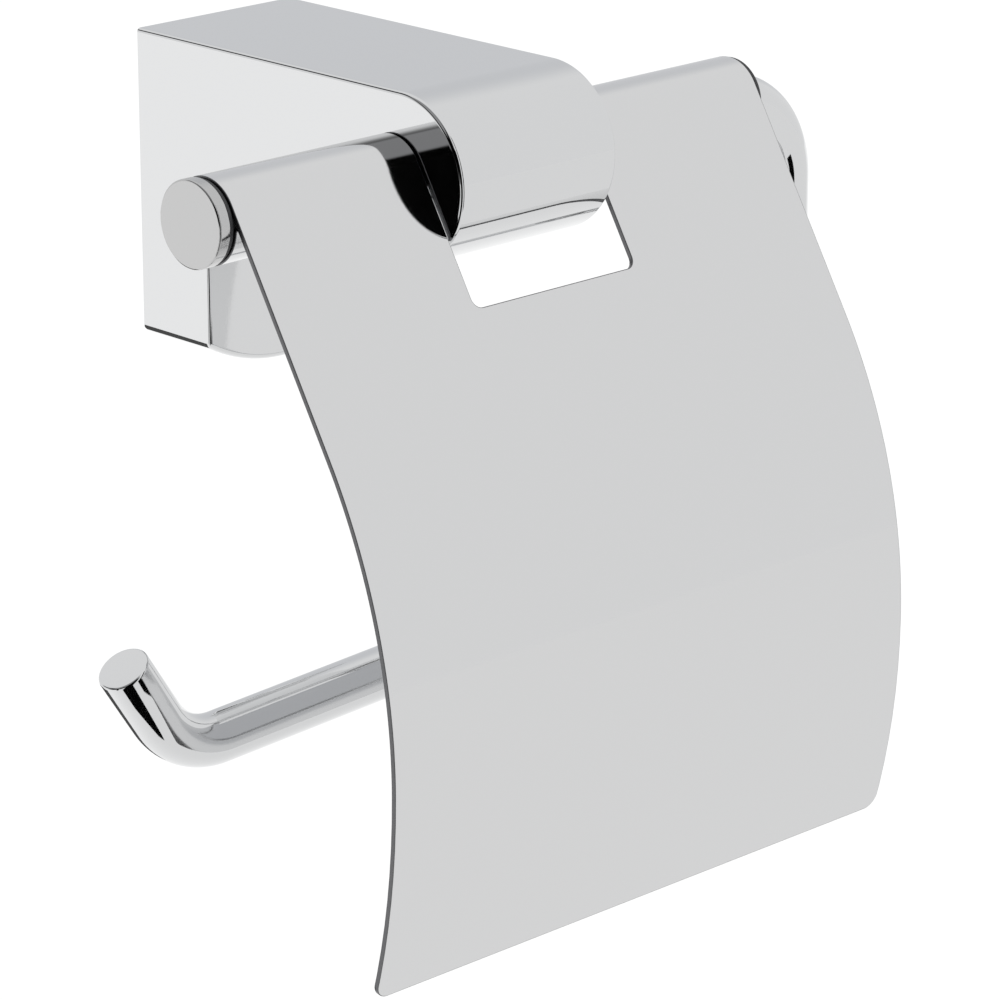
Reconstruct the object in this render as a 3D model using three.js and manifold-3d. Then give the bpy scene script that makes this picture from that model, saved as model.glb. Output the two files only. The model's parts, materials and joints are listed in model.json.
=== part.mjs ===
// Toilet paper holder: a wall post whose arm carries a bent rod, and a curved cover hinged on the rod.
// Millimetres, +Z up. X runs along the rod, the viewer is at -Y, and the wall is the plane y = 0.
// The origin is the centre of the bracket's back face, on the wall.

import * as THREE from 'three';
import * as BufferGeometryUtils from 'three/addons/utils/BufferGeometryUtils.js';
import Module from 'manifold-3d';

const wasm = await Module();
wasm.setup();

// ---- driving dimensions ----

// Post: the wall box, the arm above it and the round nose at the arm's end.
const POST_WIDTH = 40;
const WALL_TO_ROD = 72.4;
const NOSE_RADIUS = 16.3;
const NOSE_AHEAD = 1.8;
const BOX_DEPTH = 19.9;
const BOX_SIDE_DROP = 43.8;
const BOX_BOTTOM_RISE = 5.7;
const INNER_CORNER_RADIUS = 11;
const POST_WALL = 3.5;
const NOSE_SOLID_LENGTH = 40.5;

// Rod: one bent bar, from the left cap through the nose to the elbow, down, back left and up.
const ROD_RADIUS = 5;
const ROD_DROP = 90.3;
const ROD_BEND_RADIUS = 18.5;
const ROD_ELBOW_INSET = 2;
const ARM_DROOP = 2.8;
const ARM_REACH = 74.3;
const TIP_LIFT = 56.6;
const TIP_LENGTH = 23.2;
const TIP_BEND_RADIUS = 16.6;

// Cover: a sheet rolled into two eyes around the rod, with a notch for the nose.
const EYE_RADIUS = 8.2;
const SHEET = 1;
const COVER_LEFT = 65.5;
const COVER_RIGHT = 69.6;
const NOTCH_GAP_LEFT = 0.6;
const NOTCH_GAP_RIGHT = 1.2;
const NOTCH_REACH = 29;
const NOTCH_CORNER_RADIUS = 2;
const COVER_SLOPE = 59;
const COVER_FLAT_LENGTH = 48.3;
const COVER_BEND_RADIUS = 114;
const COVER_HEM_RADIUS = 150;
const COVER_HEM_SWEEP = 15.8;
const COVER_CORNER_RADIUS = 3;

// Hinge pieces.
const BUSH_LENGTH = 12;
const FLANGE = 0.8;
const CAP_THICKNESS = 2.3;
const CAP_RECESS = 1;
const CAP_EDGE = 0.4;
const SPIGOT_RADIUS = 2.4;
const SPIGOT_LENGTH = 8;
const WASHER_THICKNESS = 0.7;

// Wall bracket and screws.
const BRACKET_THICKNESS = 3;
const BRACKET_LIFT = 1.8;
const HOOK_WIDTH = 20;
const HOOK_HEIGHT = 6;
const HOOK_REACH = 7;
const LUG_WIDTH = 16;
const LUG_HEIGHT = 9;
const LUG_REACH = 11;
const WALL_HOLE_RADIUS = 2.6;
const WALL_HOLE_SPACING = 28;
const WALL_HOLE_SLOT = 2;
const BODY_SCREW_RADIUS = 2.5;
const BODY_SCREW_LENGTH = 7;
const BODY_SCREW_INSET = 9;
const ROD_SCREW_RADIUS = 2;
const ROD_SCREW_LENGTH = 9;
const SOCKET_DEPTH = 2.5;

// ---- clearances ----

const FIT = 0.3;
const RUNNING_FIT = 0.25;
const ELBOW_FIT = 0.55;
const OVERCUT = 5;

// ---- smoothness ----

const ROUND_SIDES = 32;
const ARC_STEPS = 10;
const ROD_SIDES = 24;
const DEGREE = Math.PI / 180;

// ---- sizes that follow ----

const HALF_POST = POST_WIDTH / 2;
const CAVITY_HALF = HALF_POST - POST_WALL;
const CAVITY_TOP = NOSE_RADIUS - POST_WALL;
const BRACKET_TOP = CAVITY_TOP - FIT;
const BRACKET_BOTTOM = POST_WALL + BRACKET_LIFT - BOX_SIDE_DROP;
const ROD_Z = -(BRACKET_TOP + BRACKET_BOTTOM) / 2;
const ROD_Y = -WALL_TO_ROD;
const POST_TOP = ROD_Z + NOSE_RADIUS;
const ARM_UNDER = ROD_Z - NOSE_RADIUS;
const BOX_BOTTOM = ROD_Z - BOX_SIDE_DROP - BOX_BOTTOM_RISE;
const CAVITY_BOTTOM = ROD_Z + BRACKET_BOTTOM - 2 * FIT;
const EYE_BORE = EYE_RADIUS - SHEET;
const LEFT_EYE_END = -HALF_POST - NOTCH_GAP_LEFT;
const RIGHT_EYE_END = HALF_POST + NOTCH_GAP_RIGHT;
const ELBOW_X = COVER_RIGHT - ROD_ELBOW_INSET;
const CAP_INNER = -COVER_LEFT - 2 * FIT - FLANGE;
const CAP_FACE = CAP_INNER - CAP_THICKNESS;
const ROD_START = CAP_INNER - CAP_RECESS + FIT;

// ---- materials ----

function finish(color, roughness, metalness) {
  return new THREE.MeshStandardMaterial({ color, roughness, metalness });
}

const chrome = finish(0xd4d6d8, 0.07, 1);
const sheetChrome = finish(0xcfd1d3, 0.12, 1);
const zincSteel = finish(0xa9abad, 0.4, 1);
const screwSteel = finish(0x6d6f72, 0.35, 1);
const blackPlastic = finish(0x1b1c1e, 0.5, 0);

// ---- solids ----

function signedVolume(position, index) {
  const a = new THREE.Vector3();
  const b = new THREE.Vector3();
  const c = new THREE.Vector3();
  let sum = 0;
  for (let i = 0; i < index.count; i += 3) {
    a.fromBufferAttribute(position, index.getX(i));
    b.fromBufferAttribute(position, index.getX(i + 1));
    c.fromBufferAttribute(position, index.getX(i + 2));
    sum += a.dot(b.cross(c));
  }
  return sum / 6;
}

// Turns a closed geometry into a solid, with its faces pointing out.
function solid(geometry) {
  const bare = geometry.clone();
  bare.deleteAttribute('normal');
  bare.deleteAttribute('uv');
  const merged = BufferGeometryUtils.mergeVertices(bare, 1e-4);
  const triangles = Uint32Array.from(merged.index.array);
  if (signedVolume(merged.attributes.position, merged.index) < 0) {
    for (let i = 0; i < triangles.length; i += 3) {
      [triangles[i + 1], triangles[i + 2]] = [triangles[i + 2], triangles[i + 1]];
    }
  }
  const vertProperties = Float32Array.from(merged.attributes.position.array);
  return new wasm.Manifold(new wasm.Mesh({ numProp: 3, vertProperties, triVerts: triangles }));
}

function meshOf(name, shape, material) {
  const { vertProperties, triVerts } = shape.getMesh();
  const geometry = new THREE.BufferGeometry();
  geometry.setAttribute('position', new THREE.BufferAttribute(Float32Array.from(vertProperties), 3));
  geometry.setIndex(new THREE.BufferAttribute(Uint32Array.from(triVerts), 1));
  geometry.computeVertexNormals();
  const mesh = new THREE.Mesh(geometry, material);
  mesh.name = name;
  return mesh;
}

// Box between two corners.
function block(x0, x1, y0, y1, z0, z1) {
  const geometry = new THREE.BoxGeometry(Math.abs(x1 - x0), Math.abs(y1 - y0), Math.abs(z1 - z0));
  geometry.translate((x0 + x1) / 2, (y0 + y1) / 2, (z0 + z1) / 2);
  return solid(geometry);
}

// An outline drawn in (y, z), drawn out along X.
function prismX(shape, x0, x1) {
  const geometry = new THREE.ExtrudeGeometry(shape, {
    depth: x1 - x0, bevelEnabled: false, curveSegments: ARC_STEPS,
  });
  const frame = new THREE.Matrix4().makeBasis(
    new THREE.Vector3(0, 1, 0), new THREE.Vector3(0, 0, 1), new THREE.Vector3(1, 0, 0),
  );
  geometry.applyMatrix4(frame);
  geometry.translate(x0, 0, 0);
  return solid(geometry);
}

// An outline drawn in (x, z), drawn out along -Y from y0.
function prismY(shape, y0, depth) {
  const geometry = new THREE.ExtrudeGeometry(shape, {
    depth, bevelEnabled: false, curveSegments: 2 * ARC_STEPS,
  });
  geometry.rotateX(Math.PI / 2);
  geometry.translate(0, y0, 0);
  return solid(geometry);
}

// A closed profile of [radius, x] points, turned about the rod's axis.
function turnedOnRod(profile) {
  const points = profile.map(([radius, x]) => new THREE.Vector2(radius, x));
  const geometry = new THREE.LatheGeometry(points, ROUND_SIDES);
  geometry.rotateZ(-Math.PI / 2);
  geometry.translate(0, ROD_Y, ROD_Z);
  return solid(geometry);
}

function ring(inner, outer, x0, x1) {
  return turnedOnRod([[inner, x0], [outer, x0], [outer, x1], [inner, x1], [inner, x0]]);
}

function rodCylinder(radius, x0, x1) {
  return turnedOnRod([[0, x0], [radius, x0], [radius, x1], [0, x1]]);
}

// A cylinder standing on z0.
function upright(radius, x, y, z0, z1, sides = 16) {
  const geometry = new THREE.CylinderGeometry(radius, radius, z1 - z0, sides);
  geometry.rotateX(Math.PI / 2);
  geometry.translate(x, y, (z0 + z1) / 2);
  return solid(geometry);
}

// ---- post ----

function postOutline() {
  const shape = new THREE.Shape();
  const cornerY = -BOX_DEPTH - INNER_CORNER_RADIUS;
  const cornerZ = ARM_UNDER - INNER_CORNER_RADIUS;
  shape.moveTo(0, POST_TOP);
  shape.lineTo(ROD_Y - NOSE_AHEAD, POST_TOP);
  shape.absarc(ROD_Y - NOSE_AHEAD, ROD_Z, NOSE_RADIUS, 90 * DEGREE, 270 * DEGREE, false);
  shape.lineTo(cornerY, ARM_UNDER);
  shape.absarc(cornerY, cornerZ, INNER_CORNER_RADIUS, 90 * DEGREE, 0, true);
  shape.lineTo(-BOX_DEPTH, BOX_BOTTOM - OVERCUT);
  shape.lineTo(0, BOX_BOTTOM - OVERCUT);
  return shape;
}

// The post seen from the front: straight sides over a bottom that is an arc.
function frontOutline() {
  const radius = (HALF_POST ** 2 + BOX_BOTTOM_RISE ** 2) / (2 * BOX_BOTTOM_RISE);
  const half = Math.asin(HALF_POST / radius);
  const shape = new THREE.Shape();
  shape.moveTo(HALF_POST, POST_TOP + OVERCUT);
  shape.lineTo(-HALF_POST, POST_TOP + OVERCUT);
  shape.lineTo(-HALF_POST, BOX_BOTTOM + BOX_BOTTOM_RISE);
  shape.absarc(0, BOX_BOTTOM + radius, radius, -Math.PI / 2 - half, -Math.PI / 2 + half, false);
  return shape;
}

function postBody() {
  const reach = WALL_TO_ROD + NOSE_AHEAD + NOSE_RADIUS;
  const blank = prismX(postOutline(), -HALF_POST, HALF_POST)
    .intersect(prismY(frontOutline(), OVERCUT, reach + 2 * OVERCUT));
  const boxFloor = -BOX_DEPTH + POST_WALL;
  const armEnd = -reach + NOSE_SOLID_LENGTH;
  const boxCavity = block(-CAVITY_HALF, CAVITY_HALF, OVERCUT, boxFloor,
    CAVITY_BOTTOM, ROD_Z + CAVITY_TOP);
  const armCavity = block(-CAVITY_HALF, CAVITY_HALF, OVERCUT, armEnd,
    ARM_UNDER + POST_WALL, ROD_Z + CAVITY_TOP);
  const bore = rodCylinder(ROD_RADIUS + FIT, -HALF_POST - OVERCUT, HALF_POST + OVERCUT);
  const rodScrewHole = upright(ROD_SCREW_RADIUS + FIT, 0, ROD_Y, ARM_UNDER - OVERCUT, ROD_Z);
  const bodyScrewHole = upright(BODY_SCREW_RADIUS + FIT, 0, -BODY_SCREW_INSET,
    BOX_BOTTOM - OVERCUT, CAVITY_BOTTOM + FIT);
  return [boxCavity, armCavity, bore, rodScrewHole, bodyScrewHole]
    .reduce((body, cut) => body.subtract(cut), blank);
}

// ---- bracket and screws ----

function wallSlot(z) {
  const shape = new THREE.Shape();
  shape.absarc(WALL_HOLE_SLOT / 2, z, WALL_HOLE_RADIUS, -Math.PI / 2, Math.PI / 2, false);
  shape.absarc(-WALL_HOLE_SLOT / 2, z, WALL_HOLE_RADIUS, Math.PI / 2, 1.5 * Math.PI, false);
  return prismY(shape, OVERCUT, BRACKET_THICKNESS + 2 * OVERCUT);
}

function wallBracket() {
  const half = CAVITY_HALF - FIT;
  const top = ROD_Z + BRACKET_TOP;
  const bottom = ROD_Z + BRACKET_BOTTOM;
  const inside = -BRACKET_THICKNESS / 2;
  const plate = block(-half, half, 0, -BRACKET_THICKNESS, bottom, top);
  const hook = block(-HOOK_WIDTH / 2, HOOK_WIDTH / 2, inside, -BRACKET_THICKNESS - HOOK_REACH,
    top - HOOK_HEIGHT, top);
  const lug = block(-LUG_WIDTH / 2, LUG_WIDTH / 2, inside, -BRACKET_THICKNESS - LUG_REACH,
    bottom, bottom + LUG_HEIGHT);
  return plate.add(hook).add(lug)
    .subtract(wallSlot(WALL_HOLE_SPACING / 2))
    .subtract(wallSlot(-WALL_HOLE_SPACING / 2));
}

// A grub screw whose tip is at the top and whose hexagon socket opens downwards.
function grubScrew(radius, y, tipZ, length) {
  const socket = upright(radius * 0.55, 0, y, tipZ - length - OVERCUT,
    tipZ - length + SOCKET_DEPTH, 6);
  return upright(radius, 0, y, tipZ - length, tipZ).subtract(socket);
}

// ---- rod ----

// The rod's centre line as corner stations: straight runs, and bends of equal small steps.
class RodPath extends THREE.Curve {
  constructor(stations) {
    super();
    this.stations = stations;
  }

  getPoint(t, target = new THREE.Vector3()) {
    const last = this.stations.length - 1;
    const place = Math.min(Math.max(t, 0), 1) * last;
    const index = Math.min(Math.floor(place), last - 1);
    return target.lerpVectors(this.stations[index], this.stations[index + 1], place - index);
  }

  getUtoTmapping(u) {
    return u;
  }
}

// Goes forward and turns, in the plane of the rod, and keeps the stations it passes.
class RodPen {
  constructor(x, z, heading) {
    this.x = x;
    this.z = z;
    this.heading = heading;
    this.stations = [];
    this.mark();
  }

  mark() {
    this.stations.push(new THREE.Vector3(this.x, ROD_Y, this.z));
  }

  forward(distance) {
    this.x += distance * Math.cos(this.heading * DEGREE);
    this.z += distance * Math.sin(this.heading * DEGREE);
    this.mark();
  }

  // Turns right, as seen from the front, along an arc.
  bend(radius, angle) {
    const count = Math.ceil(angle / 11.25);
    const step = angle / count;
    const chord = 2 * radius * Math.sin(step / 2 * DEGREE);
    for (let i = 0; i < count; i += 1) {
      this.heading -= step / 2;
      this.forward(chord);
      this.heading -= step / 2;
    }
  }
}

function rodPath() {
  const lowerTurn = 90 - ARM_DROOP;
  const tipTurn = TIP_LIFT + ARM_DROOP;
  const lowerTangent = ROD_BEND_RADIUS * Math.tan(lowerTurn / 2 * DEGREE);
  const tipTangent = TIP_BEND_RADIUS * Math.tan(tipTurn / 2 * DEGREE);
  const armLength = (ELBOW_X + ROD_BEND_RADIUS + ARM_REACH) / Math.cos(ARM_DROOP * DEGREE);
  const pen = new RodPen(ROD_START, ROD_Z, 0);
  pen.forward(ELBOW_X - ROD_START);
  pen.bend(ROD_BEND_RADIUS, 90);
  pen.forward(ROD_DROP - ROD_BEND_RADIUS - lowerTangent);
  pen.bend(ROD_BEND_RADIUS, lowerTurn);
  pen.forward(armLength - lowerTangent - tipTangent);
  pen.bend(TIP_BEND_RADIUS, tipTurn);
  pen.forward(TIP_LENGTH - tipTangent);
  return new RodPath(pen.stations);
}

function rod() {
  const section = new THREE.Shape();
  section.absarc(0, 0, ROD_RADIUS, 0, 2 * Math.PI, false);
  const path = rodPath();
  const bar = solid(new THREE.ExtrudeGeometry(section, {
    extrudePath: path, steps: path.stations.length - 1, curveSegments: ROD_SIDES,
  }));
  const spigotHole = rodCylinder(SPIGOT_RADIUS + FIT, ROD_START - OVERCUT,
    ROD_START + SPIGOT_LENGTH + FIT);
  return bar.subtract(spigotHole);
}

// ---- cover ----

// The sheet's outline in (y, z): flat off the eye, bowed to upright, then a longer curve inwards.
function sheetOutline() {
  const lean = (90 + COVER_SLOPE) * DEGREE;
  const hem = (180 + COVER_HEM_SWEEP) * DEGREE;
  const out = new THREE.Vector2(Math.cos(lean), Math.sin(lean));
  const along = new THREE.Vector2(-out.y, out.x);
  const rodCentre = new THREE.Vector2(ROD_Y, ROD_Z);
  const start = rodCentre.clone().addScaledVector(out, EYE_RADIUS);
  const bendStart = start.clone().addScaledVector(along, COVER_FLAT_LENGTH);
  const bendCentre = bendStart.clone().addScaledVector(out, -COVER_BEND_RADIUS);
  const hemCentre = bendCentre.clone();
  hemCentre.x += COVER_HEM_RADIUS - COVER_BEND_RADIUS;
  const innerStart = start.clone().addScaledVector(out, -SHEET);
  const bendInner = COVER_BEND_RADIUS - SHEET;
  const hemInner = COVER_HEM_RADIUS - SHEET;
  const shape = new THREE.Shape();
  shape.moveTo(start.x, start.y);
  shape.lineTo(bendStart.x, bendStart.y);
  shape.absarc(bendCentre.x, bendCentre.y, COVER_BEND_RADIUS, lean, Math.PI, false);
  shape.absarc(hemCentre.x, hemCentre.y, COVER_HEM_RADIUS, Math.PI, hem, false);
  shape.absarc(hemCentre.x, hemCentre.y, hemInner, hem, Math.PI, true);
  shape.absarc(bendCentre.x, bendCentre.y, bendInner, Math.PI, lean, true);
  shape.lineTo(innerStart.x, innerStart.y);
  return { shape, hemZ: hemCentre.y + COVER_HEM_RADIUS * Math.sin(hem) };
}

// The cover seen from the front: two round corners at the hem and a notch at the top.
function coverFront(hemZ) {
  const top = ROD_Z + EYE_RADIUS + OVERCUT;
  const notchZ = ROD_Z - notchDrop();
  const r = COVER_CORNER_RADIUS;
  const n = NOTCH_CORNER_RADIUS;
  const quarter = Math.PI / 2;
  const shape = new THREE.Shape();
  shape.moveTo(-COVER_LEFT, top);
  shape.lineTo(-COVER_LEFT, hemZ + r);
  shape.absarc(-COVER_LEFT + r, hemZ + r, r, 2 * quarter, 3 * quarter, false);
  shape.absarc(COVER_RIGHT - r, hemZ + r, r, 3 * quarter, 4 * quarter, false);
  shape.lineTo(COVER_RIGHT, top);
  shape.lineTo(RIGHT_EYE_END, top);
  shape.absarc(RIGHT_EYE_END - n, notchZ + n, n, 0, -quarter, true);
  shape.absarc(LEFT_EYE_END + n, notchZ + n, n, -quarter, -2 * quarter, true);
  shape.lineTo(LEFT_EYE_END, top);
  return shape;
}

// How far below the rod the notch ends, NOTCH_REACH along the sheet from the eye.
function notchDrop() {
  const slope = COVER_SLOPE * DEGREE;
  return NOTCH_REACH * Math.sin(slope) - EYE_RADIUS * Math.cos(slope);
}

function cover() {
  const { shape, hemZ } = sheetOutline();
  const rolled = rodCylinder(EYE_RADIUS, -COVER_LEFT, COVER_RIGHT);
  const bore = rodCylinder(EYE_BORE, -COVER_LEFT - OVERCUT, COVER_RIGHT + OVERCUT);
  const depth = WALL_TO_ROD + 2 * COVER_BEND_RADIUS;
  return prismX(shape, -COVER_LEFT, COVER_RIGHT)
    .add(rolled)
    .subtract(bore)
    .intersect(prismY(coverFront(hemZ), 0, depth));
}

// ---- hinge pieces ----

function bush(x0, x1) {
  return ring(ROD_RADIUS + RUNNING_FIT, EYE_BORE - FIT, x0, x1);
}

// A bush at one of the cover's ends, with a flange outside the eye. Its side is -1 or 1.
function flangedBush(coverEnd, side, play) {
  const tailEnd = coverEnd - side * BUSH_LENGTH;
  const flangeStart = coverEnd + side * FIT;
  const flangeEnd = flangeStart + side * FLANGE;
  const inner = ROD_RADIUS + play;
  const sleeve = EYE_BORE - FIT;
  return turnedOnRod([
    [inner, tailEnd], [sleeve, tailEnd], [sleeve, flangeStart], [EYE_RADIUS - FIT, flangeStart],
    [EYE_RADIUS - FIT, flangeEnd], [inner, flangeEnd], [inner, tailEnd],
  ]);
}

function endCap() {
  const recess = CAP_INNER - CAP_RECESS;
  const recessRadius = EYE_BORE;
  const stop = ROD_START + SPIGOT_LENGTH;
  return turnedOnRod([
    [0, CAP_FACE], [EYE_RADIUS - CAP_EDGE, CAP_FACE], [EYE_RADIUS, CAP_FACE + CAP_EDGE],
    [EYE_RADIUS, CAP_INNER], [recessRadius, CAP_INNER], [recessRadius, recess],
    [SPIGOT_RADIUS, recess], [SPIGOT_RADIUS, stop], [0, stop],
  ]);
}

function springWasher() {
  return ring(ROD_RADIUS + FIT, EYE_BORE - FIT, CAP_INNER - WASHER_THICKNESS, CAP_INNER);
}

// ---- assembly ----

const bracketSeat = ROD_Z + BRACKET_BOTTOM - FIT;
const rodUnderside = ROD_Z - ROD_RADIUS - FIT;
const innerEnd = HALF_POST + FIT;

const holder = new THREE.Group();
holder.add(
  meshOf('wall_bracket', wallBracket(), zincSteel),
  meshOf('post_body', postBody(), chrome),
  meshOf('body_grub_screw',
    grubScrew(BODY_SCREW_RADIUS, -BODY_SCREW_INSET, bracketSeat, BODY_SCREW_LENGTH), screwSteel),
  meshOf('rod_grub_screw',
    grubScrew(ROD_SCREW_RADIUS, ROD_Y, rodUnderside, ROD_SCREW_LENGTH), screwSteel),
  meshOf('bent_rod', rod(), chrome),
  meshOf('end_cap', endCap(), chrome),
  meshOf('spring_washer', springWasher(), zincSteel),
  meshOf('cover', cover(), sheetChrome),
  meshOf('flanged_bush', flangedBush(-COVER_LEFT, -1, RUNNING_FIT), blackPlastic),
  meshOf('bush_left', bush(-innerEnd - BUSH_LENGTH, -innerEnd), blackPlastic),
  meshOf('bush_right', bush(innerEnd, innerEnd + BUSH_LENGTH), blackPlastic),
  meshOf('outer_bush_right', flangedBush(COVER_RIGHT, 1, ELBOW_FIT), blackPlastic),
);

export default holder;
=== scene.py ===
"""Toilet paper holder: the fine model and its studio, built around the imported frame.

A chrome wall post carries one bent rod. A bowed sheet cover is rolled into two eyes around the
rod's top run and turns there on plastic bushes. Everything is in metres in the frame's own axes:
X runs along the rod, the wall is the plane y = 0 and the user stands at -Y.
"""

import json
import logging
import math
from contextlib import contextmanager
from dataclasses import dataclass, field
from enum import Enum
from typing import Callable, Iterator, Sequence

import bmesh
import bpy
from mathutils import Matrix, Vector

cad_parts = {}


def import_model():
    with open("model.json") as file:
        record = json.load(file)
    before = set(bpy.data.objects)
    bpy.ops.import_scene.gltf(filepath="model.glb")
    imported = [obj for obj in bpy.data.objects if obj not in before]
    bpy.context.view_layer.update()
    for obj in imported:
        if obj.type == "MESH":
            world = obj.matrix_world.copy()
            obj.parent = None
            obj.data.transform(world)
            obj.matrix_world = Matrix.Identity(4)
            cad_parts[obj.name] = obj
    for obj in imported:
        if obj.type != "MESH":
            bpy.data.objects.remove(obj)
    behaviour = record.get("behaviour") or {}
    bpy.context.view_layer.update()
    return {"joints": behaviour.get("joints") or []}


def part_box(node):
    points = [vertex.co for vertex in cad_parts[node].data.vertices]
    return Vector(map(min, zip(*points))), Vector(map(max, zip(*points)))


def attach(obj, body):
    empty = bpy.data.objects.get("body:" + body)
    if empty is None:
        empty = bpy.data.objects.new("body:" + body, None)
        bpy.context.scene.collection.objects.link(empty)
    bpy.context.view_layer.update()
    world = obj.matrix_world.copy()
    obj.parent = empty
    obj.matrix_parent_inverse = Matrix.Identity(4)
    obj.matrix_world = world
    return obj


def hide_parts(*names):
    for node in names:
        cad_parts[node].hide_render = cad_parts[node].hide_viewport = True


LOG = logging.getLogger("holder")
MM = 0.001
NEAR = 1e-6
X_AXIS = Vector((1, 0, 0))
Y_AXIS = Vector((0, 1, 0))
Z_AXIS = Vector((0, 0, 1))


class Body(Enum):
    """The frame's rigid bodies."""

    POST = "post"
    FLAP = "cover_flap"


class Slot(Enum):
    """The record's material slots."""

    POST = "post_chrome"
    ROD = "rod_chrome"
    COVER = "cover_chrome"
    BRACKET = "bracket_steel"
    SCREW = "screw_steel"
    BUSH = "bush_plastic"


# ---- the bench: modelling steps in edit mode ----


def clear_selection() -> None:
    """Deselects every object."""
    bpy.ops.object.select_all(action="DESELECT")


def take(piece: bpy.types.Object) -> None:
    """Selects one object alone and makes it active.

    Args:
        piece: The object to work on.
    """
    clear_selection()
    piece.select_set(True)
    bpy.context.view_layer.objects.active = piece


def placed(name: str) -> bpy.types.Object:
    """Names the primitive just added and applies its place, so its object sits at the origin.

    Args:
        name: The new object's name.

    Returns:
        The object.
    """
    piece = bpy.context.active_object
    piece.name = name
    piece.data.name = name
    bpy.ops.object.transform_apply(location=True, rotation=True, scale=True)
    return piece


@contextmanager
def editing(piece: bpy.types.Object) -> Iterator[None]:
    """Opens edit mode on a piece, in vertex mode.

    Args:
        piece: The object to edit.
    """
    take(piece)
    bpy.ops.object.mode_set(mode="EDIT")
    bpy.ops.mesh.select_mode(type="VERT")
    try:
        yield
    finally:
        bpy.ops.object.mode_set(mode="OBJECT")


def pick(piece: bpy.types.Object, kind: str, test: Callable[[object], bool]) -> int:
    """Selects the vertices, edges or faces that pass a test, and nothing else.

    Args:
        piece: The object in edit mode.
        kind: "VERT", "EDGE" or "FACE".
        test: Says whether an element is picked.

    Returns:
        How many elements were picked.
    """
    bpy.ops.mesh.select_mode(type=kind)
    bpy.ops.mesh.select_all(action="DESELECT")
    mesh = bmesh.from_edit_mesh(piece.data)
    mesh.normal_update()
    group = {"VERT": mesh.verts, "EDGE": mesh.edges, "FACE": mesh.faces}[kind]
    picked = [item for item in group if test(item)]
    for item in picked:
        item.select_set(True)
    mesh.select_flush_mode()
    bmesh.update_edit_mesh(piece.data)
    return len(picked)


def middle(edge: bmesh.types.BMEdge) -> Vector:
    """The midpoint of an edge."""
    return (edge.verts[0].co + edge.verts[1].co) / 2


def span(edge: bmesh.types.BMEdge) -> Vector:
    """The way from an edge's first end to its other end."""
    return edge.verts[1].co - edge.verts[0].co


def push_out(shift: Vector) -> None:
    """Extrudes the selection and moves the new end by a shift."""
    bpy.ops.mesh.extrude_region_move(TRANSFORM_OT_translate={"value": tuple(shift)})


def spin_out(angle: float, centre: Vector, axis: Vector, steps: int) -> None:
    """Draws the selection round an axis.

    Args:
        angle: How far, in radians, right-handed about the axis.
        centre: A point on the axis.
        axis: The axis.
        steps: Facets along the way.
    """
    bpy.ops.mesh.spin(steps=steps, angle=-angle, center=centre, axis=axis)


def mend(piece: bpy.types.Object, distance: float = 1e-6) -> None:
    """Merges doubles and turns every face outwards.

    Args:
        piece: The object to mend.
        distance: How near two vertices are to be one.
    """
    with editing(piece):
        bpy.ops.mesh.select_all(action="SELECT")
        bpy.ops.mesh.remove_doubles(threshold=distance)
        bpy.ops.mesh.normals_make_consistent(inside=False)


def modify(piece: bpy.types.Object, kind: str, **settings: object) -> None:
    """Adds a modifier, sets it and applies it.

    Args:
        piece: The object to change.
        kind: The modifier's type.
        settings: The modifier's values, by attribute name.
    """
    take(piece)
    modifier = piece.modifiers.new(kind.lower(), kind)
    for name, value in settings.items():
        setattr(modifier, name, value)
    bpy.ops.object.modifier_apply(modifier=modifier.name)


def combine(piece: bpy.types.Object, tool: bpy.types.Object, operation: str,
            **settings: object) -> None:
    """Joins a tool into a piece or cuts it away, and removes the tool.

    Args:
        piece: The object that stays.
        tool: The object that is used up.
        operation: "UNION", "DIFFERENCE" or "INTERSECT".
        settings: The modifier's other values, by attribute name.
    """
    modify(piece, "BOOLEAN", object=tool, operation=operation, solver="EXACT", **settings)
    bpy.data.objects.remove(tool, do_unlink=True)


def round_edges(piece: bpy.types.Object, width: float, segments: int, angle: float = 30.0,
                share: Callable[[bmesh.types.BMEdge], float] = lambda edge: 1.0) -> None:
    """Rounds every edge sharper than an angle.

    Args:
        piece: The object to round.
        width: How far the rounding reaches from the edge.
        segments: Steps across the rounding.
        angle: The least angle between two faces, in degrees.
        share: The part of the width that an edge takes, from 0 to 1.
    """
    least = math.radians(angle)
    with editing(piece):
        mesh = bmesh.from_edit_mesh(piece.data)
        mesh.normal_update()
        weight = mesh.edges.layers.float.new("bevel_weight_edge")
        for edge in mesh.edges:
            edge[weight] = share(edge) if edge.calc_face_angle(0.0) > least else 0.0
        bmesh.update_edit_mesh(piece.data)
    modify(piece, "BEVEL", width=width, segments=segments, limit_method="WEIGHT",
           use_clamp_overlap=False, miter_outer="MITER_ARC")


def smooth(piece: bpy.types.Object, angle: float = 35.0, weighted: bool = False) -> None:
    """Shades a piece smooth, apart from its sharp edges.

    Args:
        piece: The object to shade.
        angle: Edges sharper than this stay crisp, in degrees.
        weighted: Whether large faces keep their own direction up to their edges.
    """
    take(piece)
    bpy.ops.object.shade_smooth_by_angle(angle=math.radians(angle))
    if weighted:
        modify(piece, "WEIGHTED_NORMAL", keep_sharp=True, weight=100, mode="FACE_AREA")


def box_between(name: str, low: Vector, high: Vector) -> bpy.types.Object:
    """A box between two corners.

    Args:
        name: The object's name.
        low: Its lowest corner.
        high: Its highest corner.

    Returns:
        The box.
    """
    clear_selection()
    bpy.ops.mesh.primitive_cube_add(size=1, location=(low + high) / 2, scale=high - low)
    return placed(name)


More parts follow.
